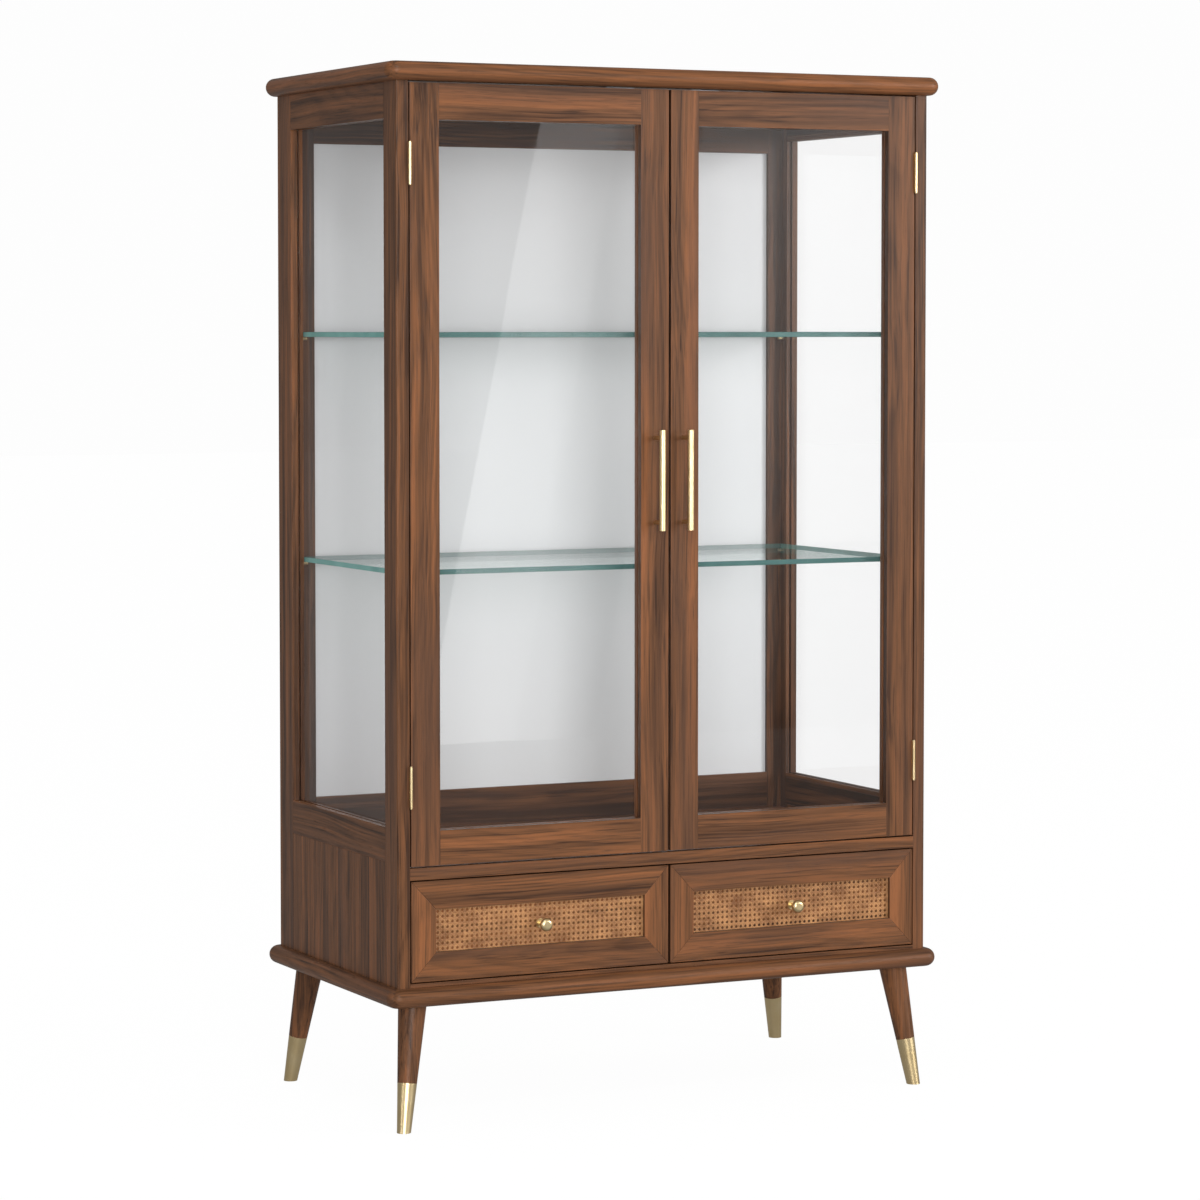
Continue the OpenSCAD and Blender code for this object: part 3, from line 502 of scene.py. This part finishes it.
def finish_node(node, material):
    """Keeps the CAD node's shape and gives it a finished material."""
    slots = frame["nodes"][node].data.materials
    slots.clear()
    slots.append(material)


window_glass = float_glass("float_glass_4_mm", GLASS_TINT)

for side in ("left", "right"):
    wood_piece(side + "_front_post", tint=-0.10)
    wood_piece(side + "_rear_post", tint=-0.08)
    wood_piece(side + "_side_rails", tint=-0.15)
    wood_piece(side + "_side_panel", along=2, stave=STAVE_WIDTH)
    finish_node(side + "_side_glass", window_glass)
wood_piece("side_glass_beads")


# --- Deck board, sill and divider -------------------------------------------------------
# Walnut boards housed between the side frames: the floor of the glazed part, the strip
# under the drawer fronts, and the upright that carries the inner drawer slides.
for node in ("deck_board", "drawer_sill", "drawer_divider"):
    wood_piece(node, shortest=0.1, tint=0.10)


# --- Back -------------------------------------------------------------------------------
# A walnut frame grooved for its panels: a board in pale satin lacquer behind the shelves
# and a thin walnut panel behind the drawers.
LACQUER_PALE = "#D9DADB"
LACQUER_SHADE = "#D2D3D5"


def satin_lacquer(name):
    """Sprayed catalysed lacquer on board: even and satin, with a fine orange-peel skin."""
    material, out = new_material(name)
    tree = material.node_tree
    place = add_node(tree, "ShaderNodeTexCoord").outputs["Object"]
    cloud = add_node(tree, "ShaderNodeTexNoise", {"Vector": place, "Scale": 2.2, "Detail": 2.0})
    # Orange peel is about 1 mm from crest to crest; it is drawn at 3 mm so that it shows.
    peel = add_node(tree, "ShaderNodeTexNoise", {"Vector": place, "Scale": 330.0, "Detail": 1.0})
    relief = add_node(tree, "ShaderNodeBump", {"Height": peel.outputs["Fac"], "Strength": 0.06,
                                               "Distance": 0.0005})
    colour = add_node(tree, "ShaderNodeMix", {0: cloud.outputs["Fac"], 6: linear(LACQUER_SHADE),
                                              7: linear(LACQUER_PALE)}, data_type="RGBA")
    polish = add_node(tree, "ShaderNodeMapRange", {"Value": cloud.outputs["Fac"], "To Min": 0.36,
                                                   "To Max": 0.46})
    paint = add_node(tree, "ShaderNodeBsdfPrincipled", {
        "Base Color": colour.outputs[2], "Roughness": polish.outputs[0],
        "Normal": relief.outputs[0], "IOR": 1.5})
    tree.links.new(paint.outputs[0], out.inputs["Surface"])
    return material


# The back frame is darkened throughout as painted shade, for the shade inside the case.
wood_piece("back_frame", shortest=0.05, tint=-0.25)
wood_piece("lower_back_panel", shortest=0.1)
finish_node("back_panel", satin_lacquer("pale_satin_lacquer"))


# --- Shelves and pins -------------------------------------------------------------------
# Two 8 mm float-glass shelves with ground and polished edges, where the thickness of the
# glass shows green; each lies on four brass pins pushed into the posts.
SHELF_FACE = "#FAFEFD"
SHELF_ARRIS = 0.0007
# The glass edges are green; the long front edges are painted darker as painted shade and the ends
# paler as painted light.
SHELF_FRONT_SHADED = ("#2B504D", "#4C7672")
SHELF_END_LIT = ("#3F8780", "#7DB5AE")
BRASS_LIGHT = "#E6D2A8"
BRASS_DEEP = "#D2B783"


def green_edge(name, deep, clear):
    """The polished edge of float glass: deep bottle green, mixed in patches with a paler green that
    is a painted reflection of what shows through.
    """
    material, out = new_material(name)
    tree = material.node_tree
    place = add_node(tree, "ShaderNodeTexCoord").outputs["Object"]
    cloud = add_node(tree, "ShaderNodeTexNoise", {"Vector": place, "Scale": 26.0, "Detail": 3.0})
    colour = add_node(tree, "ShaderNodeMix", {0: cloud.outputs["Fac"], 6: linear(deep),
                                              7: linear(clear)}, data_type="RGBA")
    polish = add_node(tree, "ShaderNodeMapRange", {"Value": cloud.outputs["Fac"], "To Min": 0.06,
                                                   "To Max": 0.16})
    edge = add_node(tree, "ShaderNodeBsdfPrincipled", {
        "Base Color": colour.outputs[2], "Roughness": polish.outputs[0], "IOR": 1.52})
    tree.links.new(edge.outputs[0], out.inputs["Surface"])
    return material


def brushed_brass(name, light, deep, roughness, stretch):
    """Satin brass, brushed after turning and lacquered: fine parallel scratches draw the
    highlight out, and the colour deepens slightly in patches."""
    material, out = new_material(name)
    tree = material.node_tree
    place = add_node(tree, "ShaderNodeTexCoord").outputs["Object"]
    # Brush marks are some 0.1 mm apart; they are drawn 0.6 mm apart so that they show.
    marks = add_node(tree, "ShaderNodeMapping", {"Vector": place, "Scale": stretch})
    scratch = add_node(tree, "ShaderNodeTexNoise", {"Vector": marks.outputs[0], "Scale": 1.0,
                                                    "Detail": 3.0})
    cloud = add_node(tree, "ShaderNodeTexNoise", {"Vector": place, "Scale": 38.0, "Detail": 3.0})
    colour = add_node(tree, "ShaderNodeMix", {0: cloud.outputs["Fac"], 6: linear(deep),
                                              7: linear(light)}, data_type="RGBA")
    polish = add_node(tree, "ShaderNodeMapRange", {"Value": scratch.outputs["Fac"],
                                                   "To Min": roughness - 0.06,
                                                   "To Max": roughness + 0.08})
    relief = add_node(tree, "ShaderNodeBump", {"Height": scratch.outputs["Fac"], "Strength": 0.12,
                                               "Distance": 0.0002})
    metal = add_node(tree, "ShaderNodeBsdfPrincipled", {
        "Base Color": colour.outputs[2], "Metallic": 1.0, "Roughness": polish.outputs[0],
        "Normal": relief.outputs[0]})
    tree.links.new(metal.outputs[0], out.inputs["Surface"])
    return material


shelf_face = float_glass("float_glass_8_mm", SHELF_FACE)
shelf_front_shaded = green_edge("polished_glass_front_edge_shaded", *SHELF_FRONT_SHADED)
shelf_end_lit = green_edge("polished_glass_end_lit", *SHELF_END_LIT)
brass = brushed_brass("brushed_brass", BRASS_LIGHT, BRASS_DEEP, 0.30, (1600, 1600, 60))


def glass_shelf(node):
    """One shelf, with clear faces and green edges: the long edges darker as painted shade, the ends
    paler as painted light.
    """
    low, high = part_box(node)
    bm = bmesh.new()
    bmesh.ops.create_cube(bm, size=1.0)
    for v in bm.verts:
        v.co = [low[i] if v.co[i] < 0 else high[i] for i in range(3)]
    bmesh.ops.bevel(bm, geom=bm.edges[:], offset=SHELF_ARRIS, segments=2, profile=0.5,
                    affect="EDGES")
    for face in bm.faces:
        flat, lengthwise = abs(face.normal.z) > 0.9, abs(face.normal.y) > 0.5
        face.material_index = 0 if flat else 1 if lengthwise else 2
    mark_sharp(bm)
    mesh = bpy.data.meshes.new(node + "_glass")
    bm.to_mesh(mesh)
    bm.free()
    add_piece(mesh, node, "shelf_glass", shelf_face, shelf_front_shaded, shelf_end_lit)


glass_shelf("lower_shelf")
glass_shelf("upper_shelf")
finish_node("shelf_pins", brass)


# --- Legs -------------------------------------------------------------------------------
# Turned and tapered walnut legs, splayed outward both ways, with spun brass ferrules over
# the feet; a zinc-plated bolt draws each leg up to the base board.
def zinc_steel(name):
    """Zinc-plated mild steel: dull bright grey with the faint spangle of the plating."""
    material, out = new_material(name)
    tree = material.node_tree
    place = add_node(tree, "ShaderNodeTexCoord").outputs["Object"]
    spangle = add_node(tree, "ShaderNodeTexVoronoi", {"Vector": place, "Scale": 160.0})
    colour = add_node(tree, "ShaderNodeMix", {0: spangle.outputs["Distance"], 6: linear("#A9ADB2"),
                                              7: linear("#C4C7CA")}, data_type="RGBA")
    polish = add_node(tree, "ShaderNodeMapRange", {"Value": spangle.outputs["Distance"],
                                                   "To Min": 0.32, "To Max": 0.45})
    metal = add_node(tree, "ShaderNodeBsdfPrincipled", {
        "Base Color": colour.outputs[2], "Metallic": 1.0, "Roughness": polish.outputs[0]})
    tree.links.new(metal.outputs[0], out.inputs["Surface"])
    return material


zinc = zinc_steel("zinc_plated_steel")
for side in ("left", "right"):
    for end in ("front", "rear"):
        wood_piece(side + "_" + end + "_leg", ease=0, along=2)
finish_node("ferrules", brass)
finish_node("leg_bolts", zinc)


# --- Hinges -----------------------------------------------------------------------------
# Solid-drawn brass butt hinges, let into the post and the door, with loose-headed pins and
# countersunk brass screws.
for node in ("hinge_post_leaves", "hinge_pins", "hinge_post_screws",
             "left_door_hinge_leaves", "right_door_hinge_leaves"):
    finish_node(node, brass)


# --- Doors ------------------------------------------------------------------------------
# Inset doors: walnut stiles run full height past the rails, one float-glass pane each in a
# rebate behind beads, and a brushed-brass bar handle bolted through the inner stile.
for side in ("left", "right"):
    # Their faces that look sideways, up or down are darkened as painted shade in the gaps.
    wood_piece(side + "_door_stiles", edge_tint=-0.35)
    wood_piece(side + "_door_rails", edge_tint=-0.35)
    wood_piece(side + "_door_beads")
    finish_node(side + "_door_glass", window_glass)
    finish_node(side + "_door_handle", brass)
    finish_node(side + "_door_strike", zinc)


# --- Catches ----------------------------------------------------------------------------
# Magnetic catches in zinc-plated cases, screwed under the top board, one behind each door's
# free corner, where the door's strike plate meets it.
finish_node("door_catches", zinc)


# --- Drawers ----------------------------------------------------------------------------
# Mitred walnut fronts around a panel of woven cane, on boxes of a paler, straighter walnut,
# darkened with painted shade where they show behind the cane; a turned brass knob in the middle of
# each.
BOX_DARK = "#463125"
BOX_MID = "#967258"
BOX_LIGHT = "#AE8A6C"
BOX_SHADE = "#80634F"
CANE_LIGHT = "#C6915D"
CANE_DEEP = "#80522B"
CANE_PITCH = 0.0080  # from one hole to the next
CANE_PAIR = 0.00095  # from the middle of a pair to each of its strands
CANE_STRAND = 0.00115  # width of an upright or level strand
CANE_SLANT = 0.0013  # width of a slanting one
CANE_THICK = 0.0008
CANE_WAVE = 0.0004  # how far a strand swings out to pass over another
POINTS_A_PITCH = 6
CANE_OVER = 0.00022  # how far the two slanting ways lie in front of and behind the middle
CANE_SHORTEST = 0.004  # shorter ends of slanting strands are left out at the corners
WIDTH_MATCH = 0.00005  # tells the two widths apart, so it stays well under their difference
CANE_MARGIN = 0.0009  # strands stay this far inside the panel's edge


def split_cane(name):
    """Peeled rattan cane: a glossy straw-brown skin with lengthwise fibres, each strand a
    little lighter or darker."""
    material, out = new_material(name)
    tree = material.node_tree
    place = add_node(tree, "ShaderNodeTexCoord").outputs["Object"]
    strand = add_node(tree, "ShaderNodeTexNoise", {"Vector": place, "Scale": 240.0, "Detail": 2.0})
    cloud = add_node(tree, "ShaderNodeTexNoise", {"Vector": place, "Scale": 30.0, "Detail": 2.0})
    mixed = add_node(tree, "ShaderNodeMath", {0: strand.outputs["Fac"], 1: 0.6,
                                              2: cloud.outputs["Fac"]}, operation="MULTIPLY_ADD")
    level = add_node(tree, "ShaderNodeMapRange", {"Value": mixed.outputs[0], "From Min": 0.55,
                                                  "From Max": 1.05})
    colour = add_node(tree, "ShaderNodeMix", {0: level.outputs[0], 6: linear(CANE_DEEP),
                                              7: linear(CANE_LIGHT)}, data_type="RGBA")
    relief = add_node(tree, "ShaderNodeBump", {"Height": strand.outputs["Fac"], "Strength": 0.2,
                                               "Distance": 0.0003})
    skin = add_node(tree, "ShaderNodeBsdfPrincipled", {
        "Base Color": colour.outputs[2], "Roughness": 0.42, "Normal": relief.outputs[0]})
    tree.links.new(skin.outputs[0], out.inputs["Surface"])
    return material


def cane_strands(width, height):
    """The strands of the six-way weave, drawn flat: pairs of uprights and of level strands
    that go over and under each other, and single strands on both slants between them."""
    points, edges, facts = [], [], []

    def strand(start, end, lift, upright, broad, raise_by):
        edges.append((len(points), len(points) + 1))
        points.extend([(*start, raise_by), (*end, raise_by)])
        facts.extend([(lift, upright, broad)] * 2)

    def pairs(length):
        count = int(length / CANE_PITCH) + 1
        first = (length - (count - 1) * CANE_PITCH) / 2
        lines = [first + i * CANE_PITCH + s * CANE_PAIR for i in range(count) for s in (-1, 1)]
        return [(n, c) for n, c in enumerate(lines) if CANE_MARGIN < c < length - CANE_MARGIN], first

    uprights, x0 = pairs(width)
    levels, z0 = pairs(height)
    for n, x in uprights:
        strand((x, 0), (x, height), 1 - 2 * (n % 2), 1.0, CANE_STRAND, 0.0)
    for n, z in levels:
        strand((0, z), (width, z), 2 * (n % 2) - 1, 0.0, CANE_STRAND, 0.0)
    for slope in (1, -1):
        base = z0 - slope * x0 + CANE_PITCH / 2
        steps = int((width + height) / CANE_PITCH) + 2
        for k in range(-steps, steps):
            c = base + k * CANE_PITCH
            ends = sorted(((0 - c) / slope, (height - c) / slope))
            a, b = max(0.0, ends[0]), min(width, ends[1])
            if b - a > CANE_SHORTEST:
                strand((a, slope * a + c), (b, slope * b + c), 0.0, 0.0, CANE_SLANT,
                       CANE_OVER * slope)
    return points, edges, facts, x0, z0


def weave_tree(material):
    """Geometry nodes that turn flat lines into woven strips of cane."""
    tree = bpy.data.node_groups.new("woven_cane", "GeometryNodeTree")
    face = tree.interface
    face.new_socket("Geometry", in_out="INPUT", socket_type="NodeSocketGeometry")
    for name in ("Pitch", "Thickness", "Wave height", "First upright", "First level",
                 "Strand width", "Slant width"):
        face.new_socket(name, in_out="INPUT", socket_type="NodeSocketFloat")
    face.new_socket("Geometry", in_out="OUTPUT", socket_type="NodeSocketGeometry")
    given = tree.nodes.new("NodeGroupInput").outputs
    result = tree.nodes.new("NodeGroupOutput")

    def maths(operation, *values):
        return add_node(tree, "ShaderNodeMath", dict(enumerate(values)),
                        operation=operation).outputs[0]

    def fact(name):
        return add_node(tree, "GeometryNodeInputNamedAttribute", {"Name": name},
                        data_type="FLOAT").outputs["Attribute"]

    lines = add_node(tree, "GeometryNodeMeshToCurve", {0: given["Geometry"]})
    length = maths("MULTIPLY", given["Pitch"], 1 / POINTS_A_PITCH)
    lines = add_node(tree, "GeometryNodeResampleCurve", {
        "Curve": lines.outputs[0], "Length": length}, mode="LENGTH")
    place = add_node(tree, "ShaderNodeSeparateXYZ", {0: add_node(
        tree, "GeometryNodeInputPosition").outputs[0]}).outputs
    upright = fact("upright")
    run = add_node(tree, "ShaderNodeMix", {
        0: upright, 2: maths("SUBTRACT", place["X"], given["First upright"]),
        3: maths("SUBTRACT", place["Y"], given["First level"])}).outputs[0]
    turn = maths("MULTIPLY", maths("DIVIDE", run, given["Pitch"]), 2 * math.pi)
    height = maths("MULTIPLY", fact("lift"), given["Wave height"])
    wave = maths("MULTIPLY", maths("SINE", turn), height)
    shift = add_node(tree, "ShaderNodeCombineXYZ", {"Z": wave})
    lines = add_node(tree, "GeometryNodeSetPosition", {
        "Geometry": lines.outputs[0], "Offset": shift.outputs[0]})
    lines = add_node(tree, "GeometryNodeSetCurveNormal", {"Curve": lines.outputs[0]}, mode="Z_UP")
    lines = add_node(tree, "GeometryNodeSetCurveRadius", {"Curve": lines.outputs[0],
                                                          "Radius": 1.0})
    solids = []
    for broad in (given["Strand width"], given["Slant width"]):
        chosen = maths("COMPARE", fact("broad"), broad, WIDTH_MATCH)
        parts = add_node(tree, "GeometryNodeSeparateGeometry", {
            "Geometry": lines.outputs[0], "Selection": chosen}, domain="CURVE")
        strip = add_node(tree, "GeometryNodeCurvePrimitiveQuadrilateral", {
            "Width": broad, "Height": given["Thickness"]}, mode="RECTANGLE")
        solid = add_node(tree, "GeometryNodeCurveToMesh", {
            "Curve": parts.outputs[0], "Profile Curve": strip.outputs[0], "Fill Caps": True})
        solids.append(solid.outputs[0])
    joined = add_node(tree, "GeometryNodeJoinGeometry")
    for solid in solids:
        tree.links.new(solid, joined.inputs[0])
    real = add_node(tree, "GeometryNodeRealizeInstances", {0: joined.outputs[0]})
    done = add_node(tree, "GeometryNodeSetMaterial", {"Geometry": real.outputs[0],
                                                      "Material": material})
    tree.links.new(done.outputs[0], result.inputs[0])
    return tree


def woven_panel(node, material, tree):
    """One drawer's webbing, made flat and then stood up in the node's place."""
    low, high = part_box(node)
    width, height = high.x - low.x, high.z - low.z
    points, edges, facts, x0, z0 = cane_strands(width, height)
    mesh = bpy.data.meshes.new(node + "_lines")
    mesh.from_pydata(points, edges, [])
    for i, name in enumerate(("lift", "upright", "broad")):
        layer = mesh.attributes.new(name, "FLOAT", "POINT")
        layer.data.foreach_set("value", [f[i] for f in facts])
    lines = bpy.data.objects.new(node + "_lines", mesh)
    bpy.context.scene.collection.objects.link(lines)
    weave = lines.modifiers.new("weave", "NODES")
    weave.node_group = tree
    sizes = {"Pitch": CANE_PITCH, "Thickness": CANE_THICK, "Wave height": CANE_WAVE,
             "First upright": x0, "First level": z0,
             "Strand width": CANE_STRAND, "Slant width": CANE_SLANT}
    for item in tree.interface.items_tree:
        if item.in_out == "INPUT" and item.name in sizes:
            weave[item.identifier] = sizes[item.name]
    bpy.context.view_layer.update()
    solid = bpy.data.meshes.new_from_object(
        lines.evaluated_get(bpy.context.evaluated_depsgraph_get()))
    bpy.data.objects.remove(lines)
    for name in ("lift", "upright", "broad"):
        if name in solid.attributes:
            solid.attributes.remove(solid.attributes[name])
    middle = (low.y + high.y) / 2
    upright = Matrix.Rotation(math.pi / 2, 4, "X")
    solid.transform(Matrix.Translation((low.x, middle, low.z)) @ upright)
    solid.name = node + "_weave"
    solid.materials.clear()
    add_piece(solid, node, "cane", material)


box_wood = oiled_wood("sanded_drawer_walnut", BOX_DARK, BOX_MID, BOX_LIGHT, BOX_SHADE, 0.6, 0.55)
cane = split_cane("woven_rattan_cane")
weave = weave_tree(cane)
for side in ("left", "right"):
    # Its faces that look sideways, up or down are darkened as painted shade in the gaps.
    wood_piece(side + "_drawer_front", shortest=0.03, tint=0.08, edge_tint=-0.35)
    woven_panel(side + "_drawer_cane", cane, weave)
    # The box's foremost face, behind the cane, is darkened as painted shade.
    wood_piece(side + "_drawer_box", box_wood, "drawer_wood", ease=0.0006, shortest=0.08,
               face_tint=-0.8)
    finish_node(side + "_drawer_knob", brass)


# --- Drawer slides ----------------------------------------------------------------------
# Three-part ball-bearing slides of zinc-plated steel, one on each side of each drawer: the
# outer member is screwed to the case, the inner one to the box, and the middle runs in both.
for node in ("slide_outers", "left_drawer_slides", "right_drawer_slides",
             "left_slide_middles", "right_slide_middles"):
    finish_node(node, zinc)
